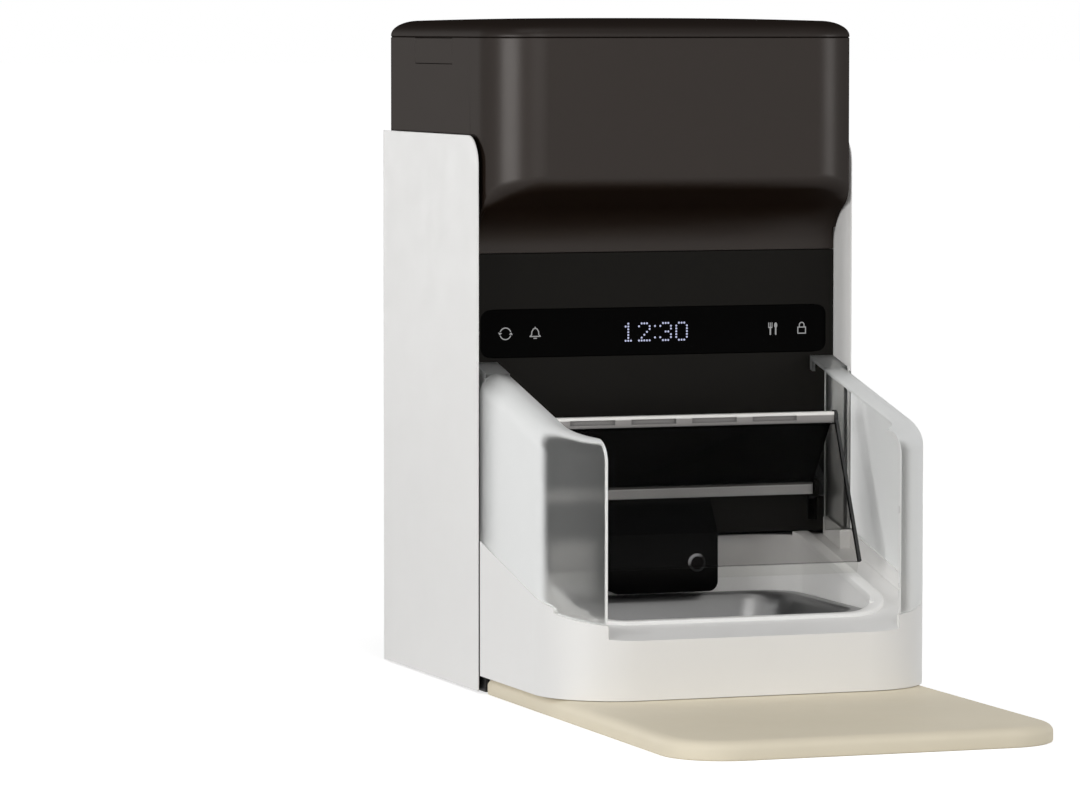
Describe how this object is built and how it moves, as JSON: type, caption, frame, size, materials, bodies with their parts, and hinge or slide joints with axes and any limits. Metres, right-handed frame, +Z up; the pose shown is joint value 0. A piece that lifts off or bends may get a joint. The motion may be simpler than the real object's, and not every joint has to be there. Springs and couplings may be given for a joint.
{
  "type": "microchip pet feeder",
  "caption": "Upright automatic pet feeder: lift-off food tank, rotor and chute over a lift-out bowl, folding see-through cover between frosted guards, pull-out mat",
  "frame": {"origin": "centre of the footprint of the whole object, mat included, on the floor plane", "axes": "+X to the right seen from the front, +Y from the front to the back, +Z up"},
  "size_m": [0.2, 0.4434, 0.3347],
  "materials": {
    "white_shell": "satin white moulded plastic",
    "white_inner": "matt pale grey moulded plastic",
    "brown_satin": "satin dark brown moulded plastic",
    "black_face": "satin near-black moulded plastic",
    "black_inner": "matt black moulded plastic",
    "lens_black": "glossy black lens",
    "chute_black": "glossy black plastic",
    "light_module": "matt light module",
    "board_green": "green circuit board",
    "copper": "wound copper coil",
    "speaker_grey": "grey speaker",
    "foot_rubber": "black rubber",
    "tray_white": "satin pale plastic",
    "steel": "brushed stainless steel",
    "mat_cream": "soft cream silicone",
    "guard_frost": "frosted translucent plastic",
    "bar_grey": "satin light grey plastic",
    "shaft_steel": "steel shaft",
    "gear_white": "natural nylon",
    "pane_smoke": "clear smoke-tinted plastic",
    "motor_grey": "motor can",
    "funnel_brown": "satin brown plastic",
    "seal_white": "soft silicone seal",
    "desiccant_white": "matt ivory plastic",
    "drum_black": "matt black plastic",
    "rotor_orange": "soft orange rotor",
    "bezel_chrome": "polished metal ring",
    "eye_dark": "dark infrared window",
    "cell_gold": "battery jacket",
    "inlet_black": "black inlet",
    "button_grey": "grey button"
  },
  "bodies": {
    "casing": {"side_panel_left": "white_shell", "side_panel_right": "white_shell", "chassis": "black_inner", "rear_cover": "brown_satin", "front_panel": "black_face", "display_lens": "lens_black", "display_module": "light_module", "display_board": "board_green", "control_board": "board_green", "tag_antenna": "copper", "speaker": "speaker_grey", "base_shell": "white_shell", "base_floor": "white_inner", "base_plate": "black_inner", "rubber_feet": "foot_rubber", "bowl_tray": "tray_white", "guard_left": "guard_frost", "guard_right": "guard_frost", "cover_motor": "motor_grey", "dispenser_drum": "drum_black", "motor_bracket": "motor_grey", "rotor_motor": "motor_grey", "food_chute": "chute_black", "sensor_bezel": "bezel_chrome", "sensor_eye": "eye_dark", "battery_box": "black_inner", "batteries": "cell_gold", "power_inlet": "inlet_black", "case_screws": "shaft_steel"},
    "cover_upper": {"hinge_bar": "bar_grey", "cover_shaft": "shaft_steel", "drive_sector": "gear_white", "upper_pane": "pane_smoke", "fold_bar": "bar_grey", "fold_pins": "shaft_steel"},
    "cover_front": {"front_pane": "pane_smoke", "pane_frame": "black_inner", "pane_lip_strip": "pane_smoke"},
    "cover_drive": {"cover_pinion": "gear_white"},
    "bowl": {"steel_bowl": "steel"},
    "mat": {"silicone_mat": "mat_cream"},
    "tank": {"hopper_tank": "brown_satin", "hopper_funnel": "funnel_brown"},
    "lid": {"hopper_lid": "brown_satin", "lid_seal": "seal_white", "desiccant_box": "desiccant_white"},
    "drying_cap": {"desiccant_cap": "desiccant_white"},
    "latch_left": {"lid_latch_left": "brown_satin"},
    "latch_right": {"lid_latch_right": "brown_satin"},
    "dispenser_rotor": {"rotor": "rotor_orange", "rotor_shaft": "shaft_steel", "rotor_gear": "gear_white"},
    "rotor_drive": {"rotor_pinion": "gear_white"},
    "door": {"battery_door": "brown_satin"},
    "reset": {"reset_button": "button_grey"}
  },
  "joints": [
    {"name": "cover_fold", "type": "hinge", "parent": "casing", "child": "cover_upper", "pos_m": [0, 0.0601, 0.0972], "axis": [1, 0, 0], "range_deg": [-30, 6]},
    {"name": "pane_fold", "type": "hinge", "parent": "cover_upper", "child": "cover_front", "pos_m": [0, 0.032, 0.135], "axis": [1, 0, 0], "range_deg": [-8, 37]},
    {"name": "cover_drive_spin", "type": "hinge", "parent": "casing", "child": "cover_drive", "pos_m": [0.086, 0.0841, 0.0972], "axis": [1, 0, 0], "range_deg": [-19, 91]},
    {"name": "bowl_tilt", "type": "hinge", "parent": "casing", "child": "bowl", "pos_m": [0, 0.0786, 0.04235], "axis": [-1, 0, 0], "range_deg": [0, 5]},
    {"name": "mat_slide", "type": "slide", "parent": "casing", "child": "mat", "axis": [0, -1, 0], "range_m": [0, 0.13]},
    {"name": "tank_lift", "type": "slide", "parent": "casing", "child": "tank", "axis": [0, 0, 1], "range_m": [0, 0.1]},
    {"name": "lid_lift", "type": "slide", "parent": "tank", "child": "lid", "axis": [0, 0, 1], "range_m": [0, 0.05]},
    {"name": "drying_cap_pull", "type": "slide", "parent": "lid", "child": "drying_cap", "axis": [0, 0, -1], "range_m": [0, 0.02]},
    {"name": "latch_left_press", "type": "slide", "parent": "tank", "child": "latch_left", "axis": [1, 0, 0], "range_m": [0, 0.0014], "stiffness_N_per_m": 800},
    {"name": "latch_right_press", "type": "slide", "parent": "tank", "child": "latch_right", "axis": [-1, 0, 0], "range_m": [0, 0.0014], "stiffness_N_per_m": 800},
    {"name": "rotor_spin", "type": "hinge", "parent": "casing", "child": "dispenser_rotor", "pos_m": [0, 0.1385, 0.18], "axis": [1, 0, 0], "continuous": true},
    {"name": "rotor_drive_spin", "type": "hinge", "parent": "casing", "child": "rotor_drive", "pos_m": [0.04, 0.1685, 0.18], "axis": [1, 0, 0], "continuous": true},
    {"name": "battery_door_swing", "type": "hinge", "parent": "casing", "child": "door", "pos_m": [0, 0.2203, 0.0088], "axis": [-1, 0, 0], "range_deg": [0, 90]},
    {"name": "reset_press", "type": "slide", "parent": "casing", "child": "reset", "axis": [0, -1, 0], "range_m": [0, 0.001], "stiffness_N_per_m": 500}
  ],
  "couplings": [
    {"joint": "pane_fold", "follows": "cover_fold", "ratio": -1.2},
    {"joint": "cover_drive_spin", "follows": "cover_fold", "ratio": -3},
    {"joint": "rotor_drive_spin", "follows": "rotor_spin", "ratio": -4}
  ]
}
